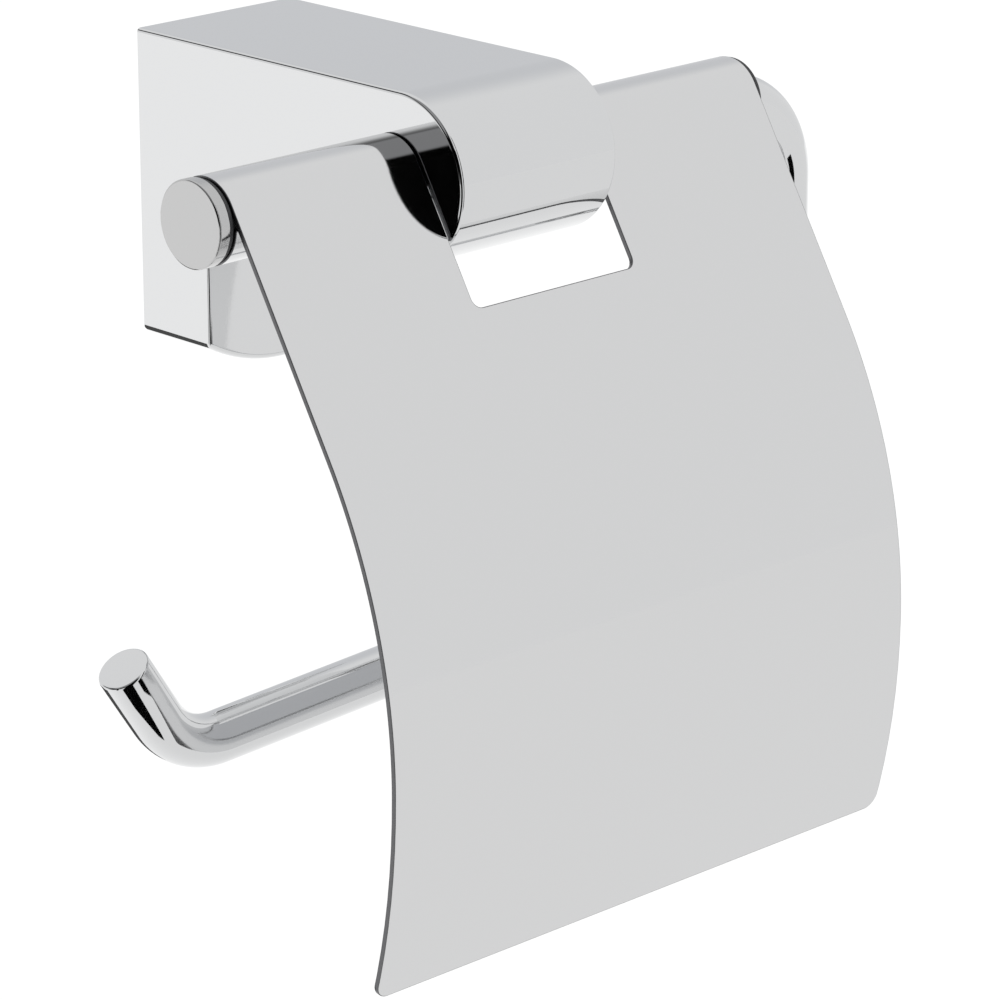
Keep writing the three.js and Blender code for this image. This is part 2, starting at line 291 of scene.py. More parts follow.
def round_bar(name: str, centre: Vector, radius: float, length: float, along: Vector,
              sides: int = 64) -> bpy.types.Object:
    """A cylinder along X, Y or Z.

    Args:
        name: The object's name.
        centre: Its middle.
        radius: Its radius.
        length: Its length.
        along: The axis that it lies along.
        sides: Faces round it.

    Returns:
        The cylinder.
    """
    turn = Z_AXIS.rotation_difference(along).to_euler()
    clear_selection()
    bpy.ops.mesh.primitive_cylinder_add(vertices=sides, radius=radius, depth=length,
                                        location=centre, rotation=turn)
    return placed(name)


def turned(name: str, axis: Vector, along: Vector, profile: Sequence[tuple[float, float]],
           sides: int = 96) -> bpy.types.Object:
    """A turned piece: a circle drawn along an axis, and narrowed or widened at each step.

    Args:
        name: The object's name.
        axis: A point on the axis, where the profile's places are counted from.
        along: The axis, as a unit vector.
        profile: Steps of (radius, place). It ends where it starts, or on the axis at both ends.
        sides: Faces round it.

    Returns:
        The turned piece.
    """
    turn = Z_AXIS.rotation_difference(along).to_euler()
    least = 1e-6
    radius, place = profile[0]
    clear_selection()
    bpy.ops.mesh.primitive_circle_add(vertices=sides, radius=max(radius, least),
                                      location=axis + along * place, rotation=turn)
    piece = placed(name)
    flat = Vector([0 if abs(part) > 0.5 else 1 for part in along])
    with editing(piece):
        bpy.ops.mesh.select_all(action="SELECT")
        for (radius, place), (wide, far) in zip(profile, profile[1:]):
            push_out(along * (far - place))
            ratio = max(wide, least) / max(radius, least)
            scale = Vector([ratio if part else 1 for part in flat])
            bpy.ops.transform.resize(value=scale, center_override=axis + along * far)
    mend(piece, 2.5 * least)
    return piece


# ---- finishes ----


@dataclass(frozen=True)
class Graph:
    """A short way to add and join shader nodes.

    Attributes:
        tree: The nodes' tree.
    """

    tree: bpy.types.NodeTree

    def add(self, kind: str, inputs: dict[str | int, object] | None = None,
            **settings: object) -> bpy.types.Node:
        """Adds a node.

        Args:
            kind: The node's type, without "ShaderNode".
            inputs: What its inputs take, by name or index: a value, or the socket that feeds it.
            settings: The node's own values, by attribute name.

        Returns:
            The node.
        """
        node = self.tree.nodes.new(kind if kind.startswith("NodeGroup") else f"ShaderNode{kind}")
        for name, value in settings.items():
            setattr(node, name, value)
        for name, value in (inputs or {}).items():
            self.feed(node.inputs[name], value)
        return node

    def feed(self, socket: bpy.types.NodeSocket, value: object) -> None:
        """Joins a socket to the one that feeds it, or gives it a fixed value.

        Args:
            socket: The input.
            value: A value, or another node's output.
        """
        if isinstance(value, bpy.types.NodeSocket):
            self.tree.links.new(value, socket)
        else:
            socket.default_value = value


class EffectGroups:
    """Node groups that several finishes share."""

    @staticmethod
    def group(name: str, inputs: dict[str, float], output: str) -> Graph:
        """An empty group with named number sockets.

        Args:
            name: The group's name.
            inputs: Input names with their usual values.
            output: The output's name.

        Returns:
            The group.
        """
        tree = bpy.data.node_groups.new(name, "ShaderNodeTree")
        for label, value in inputs.items():
            socket = tree.interface.new_socket(label, in_out="INPUT", socket_type="NodeSocketFloat")
            socket.default_value = value
        tree.interface.new_socket(output, in_out="OUTPUT", socket_type="NodeSocketFloat")
        return Graph(tree)

    @classmethod
    def polish(cls) -> bpy.types.NodeTree:
        """The hazy spots of a polished or rolled surface.

        Returns:
            A group that turns a roughness, a haze and the spots' scale into a roughness.
        """
        graph = cls.group("metal_polish", {"Roughness": 0.05, "Haze": 0.03, "Haze Scale": 40.0},
                          "Roughness")
        entry = graph.add("NodeGroupInput").outputs
        place = graph.add("TexCoord").outputs["Object"]
        cloud = graph.add("TexNoise", {"Detail": 3.0, "Vector": place,
                                       "Scale": entry["Haze Scale"]})
        spread = graph.add("Math", {0: cloud.outputs["Fac"], 1: entry["Haze"],
                                    2: entry["Roughness"]}, operation="MULTIPLY_ADD")
        graph.add("NodeGroupOutput", {"Roughness": spread.outputs[0]})
        return graph.tree

    @classmethod
    def grain(cls) -> bpy.types.NodeTree:
        """Fine marks left by rolling, grinding or moulding, drawn out along one axis or none.

        Returns:
            A group that turns marks to a metre along each axis into a mask from 0 to 1.
        """
        axes = ("X", "Y", "Z")
        graph = cls.group("surface_grain", {axis: 1000.0 for axis in axes}, "Mask")
        entry = graph.add("NodeGroupInput").outputs
        place = graph.add("TexCoord").outputs["Object"]
        fineness = graph.add("CombineXYZ", {axis: entry[axis] for axis in axes})
        stretch = graph.add("VectorMath", {0: place, 1: fineness.outputs["Vector"]},
                            operation="MULTIPLY")
        marks = graph.add("TexNoise", {"Scale": 1.0, "Detail": 2.0,
                                       "Vector": stretch.outputs["Vector"]})
        contrast = graph.add("MapRange", {"From Min": 0.4, "From Max": 0.7,
                                          "Value": marks.outputs["Fac"]})
        graph.add("NodeGroupOutput", {"Mask": contrast.outputs["Result"]})
        return graph.tree


def matte(name: str, tone: float) -> tuple[bpy.types.Material, Graph, bpy.types.Node]:
    """A flat grey material without any shine.

    Args:
        name: The material's name.
        tone: Its brightness.

    Returns:
        The material, its nodes and its shader.
    """
    material = bpy.data.materials.new(name)
    material.use_nodes = True
    shader = material.node_tree.nodes["Principled BSDF"]
    shader.inputs["Base Color"].default_value = (tone, tone, tone, 1.0)
    shader.inputs["Roughness"].default_value = 1.0
    shader.inputs["Specular IOR Level"].default_value = 0.0
    return material, Graph(material.node_tree), shader


@dataclass(frozen=True)
class Effects:
    """The shared node groups that the finishes are built from.

    Attributes:
        polish: Hazy spots.
        grain: Fine marks.
    """

    polish: bpy.types.NodeTree
    grain: bpy.types.NodeTree


@dataclass(frozen=True)
class Finish:
    """A surface.

    Attributes:
        name: The material's name.
        color: Its colour, or its reflection colour on a metal.
        roughness: Its least roughness.
        haze: How much the roughness rises in hazy spots.
        haze_scale: Spots to a metre.
        marks: Fine marks to a metre along X, Y and Z.
        mark_haze: How much the roughness rises in a mark.
        relief: Depth of the marks, in metres.
        metal: Whether it is a metal.
    """

    name: str
    color: tuple[float, float, float]
    roughness: float
    haze: float
    haze_scale: float = 40.0
    marks: tuple[float, float, float] = (900.0, 900.0, 900.0)
    mark_haze: float = 0.01
    relief: float = 0.0
    metal: bool = True

    def make(self, effects: Effects) -> bpy.types.Material:
        """Builds the material.

        Args:
            effects: The shared node groups.

        Returns:
            The material.
        """
        material = bpy.data.materials.new(self.name)
        material.use_nodes = True
        graph = Graph(material.node_tree)
        sockets = material.node_tree.nodes["Principled BSDF"].inputs
        sockets["Base Color"].default_value = (*self.color, 1.0)
        sockets["Metallic"].default_value = 1.0 if self.metal else 0.0
        polish = graph.add("Group", {"Roughness": self.roughness, "Haze": self.haze,
                                     "Haze Scale": self.haze_scale}, node_tree=effects.polish)
        grain = graph.add("Group", dict(zip(("X", "Y", "Z"), self.marks)),
                          node_tree=effects.grain)
        total = graph.add("Math", {0: grain.outputs["Mask"], 1: self.mark_haze,
                                   2: polish.outputs["Roughness"]}, operation="MULTIPLY_ADD")
        graph.feed(sockets["Roughness"], total.outputs[0])
        if self.relief:
            bump = graph.add("Bump", {"Distance": self.relief, "Height": grain.outputs["Mask"]})
            graph.feed(sockets["Normal"], bump.outputs["Normal"])
        return material


@dataclass
class Finishes:
    """Every finish of the object, made once and looked up by name.

    Attributes:
        made: The materials by name.
    """

    made: dict[str, bpy.types.Material] = field(default_factory=dict)

    def build(self) -> None:
        """Makes every material."""
        effects = Effects(EffectGroups.polish(), EffectGroups.grain())
        rolled = (60.0, 1800.0, 1800.0)
        spangle = (350.0, 350.0, 350.0)
        moulded = (2500.0, 2500.0, 2500.0)
        finishes = (
            Finish("post_polish", (0.75, 0.755, 0.76), 0.03, 0.02, 30.0),
            Finish("rod_polish", (0.75, 0.755, 0.76), 0.03, 0.02, 60.0),
            Finish("sheet_polish", (0.75, 0.752, 0.755), 0.045, 0.03, 25.0, rolled),
            Finish("sheet_inside", (0.68, 0.682, 0.686), 0.1, 0.04, 40.0, rolled, 0.04),
            # The cut edge: a rougher finish, as a cut has, and a very dark colour that is a painted
            # dark reflection.
            Finish("cut_edge_painted_dark", (0.15, 0.15, 0.155), 0.22, 0.1, 200.0, moulded, 0.1),
            Finish("cap_satin", (0.56, 0.56, 0.56), 0.12, 0.05, 200.0, moulded, 0.04),
            Finish("zinc_plate", (0.62, 0.64, 0.66), 0.3, 0.12, 160.0, spangle, 0.1, 0.02 * MM),
            Finish("screw_black", (0.2, 0.2, 0.21), 0.35, 0.15, 300.0, moulded, 0.1, 0.01 * MM),
            Finish("bush_black", (0.045, 0.045, 0.048), 0.42, 0.12, 900.0, moulded, 0.1, 0.02 * MM,
                   metal=False),
        )
        for finish in finishes:
            self.made[finish.name] = finish.make(effects)

    def dress(self, piece: bpy.types.Object, *names: str) -> None:
        """Gives a piece its finishes.

        Args:
            piece: The object.
            names: The finishes' names, in the order of their indices.
        """
        piece.data.materials.clear()
        for name in names:
            piece.data.materials.append(self.made[name])


def install(piece: bpy.types.Object, body: Body, slot: Slot, *nodes: str) -> None:
    """Puts a finished piece into the frame and reports it.

    Args:
        piece: The object.
        body: The rigid body that it rides on.
        slot: The record's material slot; not used.
        nodes: The frame's nodes that it stands for.
    """
    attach(piece, body.value)
    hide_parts(*nodes)
    piece.data.update()
    LOG.info("%s on %s: %d faces", piece.name, body.value, len(piece.data.polygons))


# ---- the object ----


@dataclass
class Hinge:
    """The axis of the rod's top run, which everything is laid out from.

    Attributes:
        axis: A point on it, at x = 0.
        rod: The rod's radius.
        eye: The eyes' outer radius.
    """

    axis: Vector
    rod: float
    eye: float

    @classmethod
    def from_frame(cls, joints: Sequence[dict]) -> "Hinge":
        """Reads the axis and the radii from the frame.

        Args:
            joints: The frame's joints.

        Returns:
            The hinge's axis.
        """
        place = next(joint["pos_m"] for joint in joints if joint["name"] == "cover_hinge")
        low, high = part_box("end_cap")
        rod_low, rod_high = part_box("bent_rod")
        return cls(axis=Vector((0.0, place[1], place[2])), rod=(rod_high.y - rod_low.y) / 2,
                   eye=(high.z - low.z) / 2)


@dataclass
class Post:
    """The die-cast post: a wall box, an arm and a round nose.

    Attributes:
        hinge: The rod's axis.
        finishes: The finishes to dress it in.
        inner_corner: Radius between the arm's underside and the wall box.
        box_depth: How far the wall box stands off the wall.
        bottom_rise: How far the bottom's arc rises from its middle to the sides.
        wall: Thickness of the casting.
        nose_solid: Length of the solid nose.
        edge: Radius of the polished edges at the bottom, which are the roundest.
        upper_share: The other edges' radius, as a part of it.
        wall_share: The same for the edges against the wall.
        bore_play: Room round the rod and the screws.
        nose_screw: Radius of the rod's screw hole.
        post_screw: Radius of the post's screw hole.
        post_screw_inset: The post screw's distance from the wall.
        low: The post's lowest corner.
        high: Its highest corner.
    """

    hinge: Hinge
    finishes: Finishes
    inner_corner: float = 11 * MM
    box_depth: float = 19.9 * MM
    bottom_rise: float = 5.7 * MM
    wall: float = 3.5 * MM
    nose_solid: float = 40.5 * MM
    edge: float = 1.3 * MM
    upper_share: float = 0.65
    wall_share: float = 0.3
    bore_play: float = 0.3 * MM
    nose_screw: float = 2 * MM
    post_screw: float = 2.5 * MM
    post_screw_inset: float = 9 * MM
    low: Vector = field(init=False)
    high: Vector = field(init=False)

    def __post_init__(self) -> None:
        """Reads the post's corners from the frame."""
        self.low, self.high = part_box("post_body")

    def build(self) -> bpy.types.Object:
        """Models the post.

        Returns:
            The post.
        """
        piece = self.blank()
        combine(piece, self.bottom_arc(), "INTERSECT")
        self.clean_flats(piece)
        round_edges(piece, self.edge, 6, share=self.share)
        for tool in self.cuts():
            combine(piece, tool, "DIFFERENCE")
        smooth(piece, 40.0, weighted=True)
        self.finishes.dress(piece, "post_polish")
        return piece

    def share(self, edge: bmesh.types.BMEdge) -> float:
        """How much of the full radius an edge is rounded by.

        Args:
            edge: An edge of the casting.

        Returns:
            A part from 0 to 1: all of it along the bottom's arc, least against the wall.
        """
        if middle(edge).y > -MM:
            return self.wall_share
        bottom = self.low.z + self.bottom_rise + self.edge / 4
        lengthwise = abs(span(edge).x) > self.edge / 4
        return 1.0 if middle(edge).z < bottom and lengthwise else self.upper_share

    def blank(self) -> bpy.types.Object:
        """The side outline as a solid: box, arm, round nose and inner corner.

        Returns:
            The solid, with a flat bottom.
        """
        low, high = self.low, self.high
        nose = high.z - self.hinge.axis.z
        arm_under = self.hinge.axis.z - nose
        piece = box_between("post_casting", Vector((low.x, -self.box_depth, low.z)), high)
        front = -self.box_depth
        with editing(piece):
            bpy.ops.mesh.select_all(action="SELECT")
            bpy.ops.mesh.bisect(plane_co=(0, 0, arm_under), plane_no=Z_AXIS)
            pick(piece, "FACE", lambda face: face.normal.y < -0.9
                 and face.calc_center_median().z > arm_under)
            push_out(Vector((0, low.y - front, 0)))
            pick(piece, "EDGE", lambda edge: abs(middle(edge).y - low.y) < NEAR
                 and abs(span(edge).z) < NEAR)
            bpy.ops.mesh.bevel(offset=nose * 0.9999, segments=40, affect="EDGES", profile=0.5)
            pick(piece, "EDGE", lambda edge: abs(middle(edge).y - front) < NEAR
                 and abs(middle(edge).z - arm_under) < NEAR and abs(middle(edge).x) < NEAR)
            bpy.ops.mesh.bevel(offset=self.inner_corner, segments=24, affect="EDGES", profile=0.5)
        mend(piece, 1e-5)
        return piece

    def bottom_arc(self) -> bpy.types.Object:
        """A big cylinder along Y whose underside is the bottom's arc.

        Returns:
            The tool to intersect with.
        """
        low, high = self.low, self.high
        half = (high.x - low.x) / 2
        radius = (half ** 2 + self.bottom_rise ** 2) / (2 * self.bottom_rise)
        depth = 2 * (high.y - low.y)
        return round_bar("bottom_arc", Vector((0, (low.y + high.y) / 2, low.z + radius)), radius,
                         depth, Y_AXIS, sides=144)

    def clean_flats(self, piece: bpy.types.Object) -> None:
        """Dissolves the seams that cuts leave on flat faces.

        Args:
            piece: The post.
        """
        with editing(piece):
            bpy.ops.mesh.select_all(action="SELECT")
            bpy.ops.mesh.remove_doubles(threshold=2e-6)
            bpy.ops.mesh.dissolve_limited(angle_limit=math.radians(0.3))

    def cuts(self) -> Iterator[bpy.types.Object]:
        """The tools for the cavity, the rod's bore and the two screw holes.

        Yields:
            One tool at a time.
        """
        over = 5 * MM
        low, high = self.low, self.high
        axis = self.hinge.axis
        half = high.x - self.wall
        nose = high.z - axis.z
        plate_low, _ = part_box("wall_bracket")
        top = high.z - self.wall
        yield box_between("box_cavity", Vector((-half, self.wall - self.box_depth,
                                                plate_low.z - 2 * self.bore_play)),
                          Vector((half, over, top)))
        yield box_between("arm_cavity", Vector((-half, low.y + self.nose_solid,
                                                axis.z - nose + self.wall)),
                          Vector((half, over, top)))
        yield round_bar("rod_bore", axis, self.hinge.rod + self.bore_play,
                        high.x - low.x + 2 * over, X_AXIS)
        yield round_bar("nose_screw_hole", axis - Vector((0, 0, nose / 2)),
                        self.nose_screw + self.bore_play, nose, Z_AXIS, 32)
        yield round_bar("post_screw_hole", Vector((0, -self.post_screw_inset, low.z)),
                        self.post_screw + self.bore_play, 4 * over, Z_AXIS, 32)


@dataclass
class Rod:
    """The bent bar: top run, elbow, leg, lower arm and upturned tip.

    Attributes:
        hinge: The axis of its top run.
        finishes: The finishes to dress it in.
        elbow_inset: How far inside the cover's right end the top run ends.
        drop: Height of the top run over the corner of leg and lower arm.
        bend: Radius of the two large bends.
        droop: How far the lower arm falls towards its tip, in degrees.
        reach: Distance from x = 0 to the corner of arm and tip.
        tip_lift: The tip's angle over the level, in degrees.
        tip_length: Length of the tip from that corner.
        tip_bend: Radius of the tip's bend.
        end_edge: Width of the chamfer at the tip.
        spigot: Radius of the cap's spigot.
        spigot_length: Its length.
        play: Room round the spigot.
        sides: Faces round the bar.
        place: Where the drawn ring has come to.
        heading: The way it is heading, in degrees over X.
    """

    hinge: Hinge
    finishes: Finishes
    elbow_inset: float = 2 * MM
    drop: float = 90.3 * MM
    bend: float = 18.5 * MM
    droop: float = 2.8
    reach: float = 74.3 * MM
    tip_lift: float = 56.6
    tip_length: float = 23.2 * MM
    tip_bend: float = 16.6 * MM
    end_edge: float = 0.45 * MM
    spigot: float = 2.4 * MM
    spigot_length: float = 8 * MM
    play: float = 0.3 * MM
    sides: int = 96
    place: Vector = field(default_factory=Vector, init=False)
    heading: float = field(default=0.0, init=False)

    def build(self) -> bpy.types.Object:
        """Models the rod.

        Returns:
            The rod.
        """
        start_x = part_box("end_cap")[1].x - self.spigot_length
        elbow_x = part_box("cover")[1].x - self.elbow_inset
        lower_turn = 90 - self.droop
        tip_turn = self.tip_lift + self.droop
        lower_tangent = self.bend * math.tan(math.radians(lower_turn / 2))
        tip_tangent = self.tip_bend * math.tan(math.radians(tip_turn / 2))
        arm = (elbow_x + self.bend + self.reach) / math.cos(math.radians(self.droop))
        self.place = self.hinge.axis + X_AXIS * start_x
        clear_selection()
        bpy.ops.mesh.primitive_circle_add(vertices=self.sides, radius=self.hinge.rod,
                                          location=self.place, rotation=(0, math.pi / 2, 0))
        piece = placed("rod_bar")
        self.heading = 0.0
        with editing(piece):
            bpy.ops.mesh.select_all(action="SELECT")
            self.forward(elbow_x - start_x)
            self.turn(self.bend, 90)
            self.forward(self.drop - self.bend - lower_tangent)
            self.turn(self.bend, lower_turn)
            self.forward(arm - lower_tangent - tip_tangent)
            self.turn(self.tip_bend, tip_turn)
            self.forward(self.tip_length - tip_tangent)
            bpy.ops.mesh.edge_face_add()
            bpy.ops.mesh.bevel(offset=self.end_edge, segments=3, affect="EDGES")
        self.bore_end(piece, start_x)
        mend(piece)
        smooth(piece, 40.0)
        self.finishes.dress(piece, "rod_polish")
        return piece

    def direction(self) -> Vector:
        """The way the bar is heading, in the plane of the rod."""
        angle = math.radians(self.heading)
        return Vector((math.cos(angle), 0, math.sin(angle)))

    def forward(self, distance: float) -> None:
        """Draws the selected ring straight on.

        Args:
            distance: How far.
        """
        shift = self.direction() * distance
        push_out(shift)
        self.place = self.place + shift

    def turn(self, radius: float, angle: float) -> None:
        """Draws the selected ring round a bend to the right, as seen from the front.

        Args:
            radius: The bend's radius at the bar's middle.
            angle: How far it turns, in degrees.
        """
        heading = self.direction()
        inward = Vector((heading.z, 0, -heading.x))
        centre = self.place + inward * radius
        spin_out(math.radians(angle), centre, Y_AXIS, round(angle / 3))
        self.heading -= angle
        heading = self.direction()
        self.place = centre - Vector((heading.z, 0, -heading.x)) * radius

    def bore_end(self, piece: bpy.types.Object, start_x: float) -> None:
        """Closes the left end and sinks the hole for the cap's spigot into it.

        Args:
            piece: The rod.
            start_x: Where the bar starts.
        """
        with editing(piece):
            pick(piece, "EDGE", lambda edge: edge.is_boundary
                 and abs(middle(edge).x - start_x) < NEAR)
            bpy.ops.mesh.edge_face_add()
            bpy.ops.mesh.inset(thickness=self.hinge.rod - self.spigot - self.play)
            push_out(Vector((self.spigot_length + self.play, 0, 0)))


@dataclass
class Cover:
    """The bowed sheet with its two rolled eyes and its notch.

    Attributes:
        hinge: The rod's axis.
        finishes: The finishes to dress it in.
        sheet: The sheet's thickness.
        slope: The flat's angle under the level, in degrees.
        flat: Length of the flat off the eye.
        bow: Radius of the bow, outside.
        hem_bow: Radius of the last stretch, outside.
        hem_sweep: How far the last stretch turns inwards, in degrees.
        notch_reach: Length of the notch along the flat.
        notch_corner: Radius of the notch's corners.
        notch_gaps: Room between the post and the notch's left and right sides.
        corner: Radius of the hem's corners.
        seam: How far round the eye the rolled sheet stops short of the flat, in degrees.
        edge: Radius of the sheet's broken edges.
    """

    hinge: Hinge
    finishes: Finishes
    sheet: float = 1.0 * MM
    slope: float = 59.0
    flat: float = 48.3 * MM
    bow: float = 114 * MM
    hem_bow: float = 150 * MM
    hem_sweep: float = 15.8
    notch_reach: float = 29 * MM
    notch_corner: float = 2 * MM
    notch_gaps: tuple[float, float] = (0.4 * MM, 1.2 * MM)
    corner: float = 3 * MM
    seam: float = 33.0
    edge: float = 0.18 * MM

    def build(self) -> bpy.types.Object:
        """Models the cover, with finishes of their own for its cut edge and its inside. The cut
        edge's finish is rougher, as a cut is, and its very dark colour is a painted dark
        reflection; the edge roundings take it too.

        Returns:
            The cover.
        """
        low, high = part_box("cover")
        piece = self.roll_out(low.x, high.x)
        self.round_hem(piece, low.z)
        self.finishes.dress(piece, "sheet_polish", "cut_edge_painted_dark", "sheet_inside")
        modify(piece, "SOLIDIFY", thickness=self.sheet, offset=-1.0, use_even_offset=True,
               use_rim=True, material_offset=2, material_offset_rim=1)
        combine(piece, self.notch_tool(), "DIFFERENCE", material_mode="TRANSFER")
        # The edge roundings take the cut's finish, so the sheet's edges carry a painted dark
        # reflection.
        modify(piece, "BEVEL", width=self.edge, segments=2, limit_method="ANGLE",
               angle_limit=math.radians(50), material=1)
        smooth(piece, 40.0, weighted=True)
        return piece

    def directions(self) -> tuple[Vector, Vector]:
        """The flat's own directions.

        Returns:
            Its outward normal and the way down it.
        """
        lean = math.radians(self.slope)
        return (Vector((0, -math.sin(lean), math.cos(lean))),
                Vector((0, -math.cos(lean), -math.sin(lean))))

    def roll_out(self, left: float, right: float) -> bpy.types.Object:
        """Draws an edge along X round the eye, down the flat and along the bow.

        Args:
            left: The cover's left end.
            right: The cover's right end.

        Returns:
            The sheet's outer face.
        """
        axis = self.hinge.axis
        out, along = self.directions()
        seam = math.radians(self.seam)
        start = axis + (out * math.cos(seam) + along * math.sin(seam)) * self.hinge.eye
        bend_start = axis + out * self.hinge.eye + along * self.flat
        bend_centre = bend_start - out * self.bow
        hem_centre = bend_centre + Vector((0, self.hem_bow - self.bow, 0))
        clear_selection()
        bpy.ops.mesh.primitive_plane_add(size=self.sheet, location=start + X_AXIS * left)
        piece = placed("cover_sheet")
        with editing(piece):
            bpy.ops.mesh.select_all(action="SELECT")
            bpy.ops.mesh.merge(type="CENTER")
            push_out(X_AXIS * (right - left))
            bpy.ops.mesh.select_mode(type="EDGE")
            bpy.ops.mesh.select_all(action="SELECT")
            spin_out(math.tau - seam, axis, X_AXIS, 72)
            push_out(along * self.flat)
            spin_out(math.radians(90 - self.slope), bend_centre, X_AXIS, 30)
            spin_out(math.radians(self.hem_sweep), hem_centre, X_AXIS, 8)
        mend(piece)
        with editing(piece):
            bpy.ops.mesh.select_all(action="SELECT")
            front = min(piece.data.polygons, key=lambda face: face.center.y)
            if front.normal.y > 0:
                bpy.ops.mesh.flip_normals()
        return piece

    def round_hem(self, piece: bpy.types.Object, bottom: float) -> None:
        """Rounds the two corners of the hem.

        Args:
            piece: The sheet's outer face.
            bottom: The cover's lowest z.
        """
        with editing(piece):
            pick(piece, "VERT", lambda vert: vert.co.z < bottom + self.corner / 2)
            bpy.ops.mesh.bevel(offset=self.corner, segments=12, affect="VERTICES")

    def notch_tool(self) -> bpy.types.Object:
        """The block that cuts the notch and parts the two eyes, in the cut's finish, whose dark
        colour is a painted reflection.

        Returns:
            The tool.
        """
        out, along = self.directions()
        low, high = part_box("post_body")
        left, right = low.x - self.notch_gaps[0], high.x + self.notch_gaps[1]
        depth = 2.6 * self.hinge.eye
        above = 1.3 * self.hinge.eye
        centre = self.hinge.axis + along * (self.notch_reach - above) / 2
        centre.x = (left + right) / 2
        clear_selection()
        bpy.ops.mesh.primitive_cube_add(size=1, location=centre,
                                        rotation=(math.radians(self.slope - 90), 0, 0),
                                        scale=(right - left, depth, self.notch_reach + above))
        tool = placed("notch_tool")
        with editing(tool):
            pick(tool, "EDGE", lambda edge: abs(span(edge).dot(out)) > self.sheet
                 and (middle(edge) - centre).dot(along) > self.notch_reach / 2)
            bpy.ops.mesh.bevel(offset=self.notch_corner, segments=10, affect="EDGES")
        self.finishes.dress(tool, "cut_edge_painted_dark")
        return tool


@dataclass
class HingePieces:
    """The pieces on the rod that hold the cover and let it turn.

    Attributes:
        hinge: The rod's axis.
        finishes: The finishes to dress it in.
        sheet: The cover's thickness.
        fit: Room between the fixed pieces.
        running: Room between a bush and the rod.
        elbow_running: The same where the rod starts to bend.
        flange: Thickness of a bush's flange.
        cap_recess: Depth of the cap's inner face behind its rim.
        cap_edge: Radius of the cap's front edge.
        spigot: Radius of the cap's spigot.
        rib: Length of one rib on the spigot.
        rib_pitch: Distance between two ribs.
        washer_sheet: Thickness of the wave washer's sheet.
        washer_waves: Its waves in one turn.
        washer_edge: Radius of its edges.
        edge: Radius of the moulded edges.
    """

    hinge: Hinge
    finishes: Finishes
    sheet: float = 1.0 * MM
    fit: float = 0.3 * MM
    running: float = 0.25 * MM
    elbow_running: float = 0.55 * MM
    flange: float = 0.8 * MM
    cap_recess: float = 1.0 * MM
    cap_edge: float = 0.4 * MM
    spigot: float = 2.4 * MM
    rib: float = 0.8 * MM
    rib_pitch: float = 1.4 * MM
    washer_sheet: float = 0.35 * MM
    washer_waves: int = 3
    washer_edge: float = 0.08 * MM
    edge: float = 0.15 * MM

    def ring(self, name: str, profile: Sequence[tuple[float, float]],
             edge: float) -> bpy.types.Object:
        """A ring round the rod with rounded edges.

        Args:
            name: The piece's name.
            profile: Its section, as steps of (radius, x).
            edge: Radius of its edges.

        Returns:
            The ring.
        """
        piece = turned(name, self.hinge.axis, X_AXIS, profile)
        round_edges(piece, edge, 3, 50.0)
        smooth(piece, weighted=True)
        return piece

    def cap(self) -> bpy.types.Object:
        """Models the cap on the rod's left end, with its recess and ribbed spigot.

        Returns:
            The cap.
        """
        low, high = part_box("end_cap")
        rim_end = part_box("spring_washer")[1].x
        radius = self.hinge.eye
        bore = radius - self.sheet
        recess = rim_end - self.cap_recess
        core = self.spigot - self.edge
        profile = [(0.0, low.x), (radius, low.x), (radius, rim_end), (bore, rim_end),
                   (bore, recess), (core, recess)]
        place = recess + 1.5 * self.rib
        while place < high.x - 2 * self.rib:
            profile += [(core, place), (self.spigot, place + self.rib / 2),
                        (self.spigot, place + self.rib), (core, place + self.rib)]
            place += self.rib_pitch
        profile += [(core, high.x), (0.0, high.x)]
        piece = turned("rod_cap", self.hinge.axis, X_AXIS, profile, 128)
        with editing(piece):
            pick(piece, "EDGE", lambda edge: abs(middle(edge).x - low.x) < NEAR
                 and all((vert.co - self.hinge.axis).yz.length > radius * 0.99
                         for vert in edge.verts))
            bpy.ops.mesh.bevel(offset=self.cap_edge, segments=5, affect="EDGES")
        smooth(piece, weighted=True)
        self.finishes.dress(piece, "cap_satin")
        return piece

    def washer(self) -> bpy.types.Object:
        """Models the wave washer under the cap.

        Returns:
            The washer.
        """
        low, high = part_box("spring_washer")
        mean = (low.x + high.x) / 2
        left, right = mean - self.washer_sheet / 2, mean + self.washer_sheet / 2
        inner = self.hinge.rod + self.fit
        outer = self.hinge.eye - self.sheet - self.fit
        piece = self.ring("wave_washer", ((inner, left), (outer, left), (outer, right),
                                          (inner, right), (inner, left)), self.washer_edge)
        swing = (high.x - low.x - self.washer_sheet) / 2
        for vert in piece.data.vertices:
            place = vert.co - self.hinge.axis
            vert.co.x += swing * math.sin(self.washer_waves * math.atan2(place.z, place.y))
        self.finishes.dress(piece, "zinc_plate")
        return piece

    def bush(self, node: str, name: str, play: float, flange: bool) -> bpy.types.Object:
        """Models a bush between the rod and the cover.

        Args:
            node: The frame's node.
            name: The piece's name.
            play: Room between the bush and the rod.
            flange: Whether a flange stands at its outer end, outside the cover.

        Returns:
            The bush.
        """
        low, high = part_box(node)
        inside, outside = (high.x, low.x) if high.x < 0 else (low.x, high.x)
        back = outside - math.copysign(self.flange, outside)
        bore = self.hinge.rod + play
        sleeve = self.hinge.eye - self.sheet - self.fit
        rim = self.hinge.eye - self.fit
        end = ((sleeve, back), (rim, back), (rim, outside)) if flange else ((sleeve, outside),)
        piece = self.ring(name, ((bore, inside), (sleeve, inside), *end, (bore, outside),
                                 (bore, inside)), self.edge)
        self.finishes.dress(piece, "bush_black")
        return piece


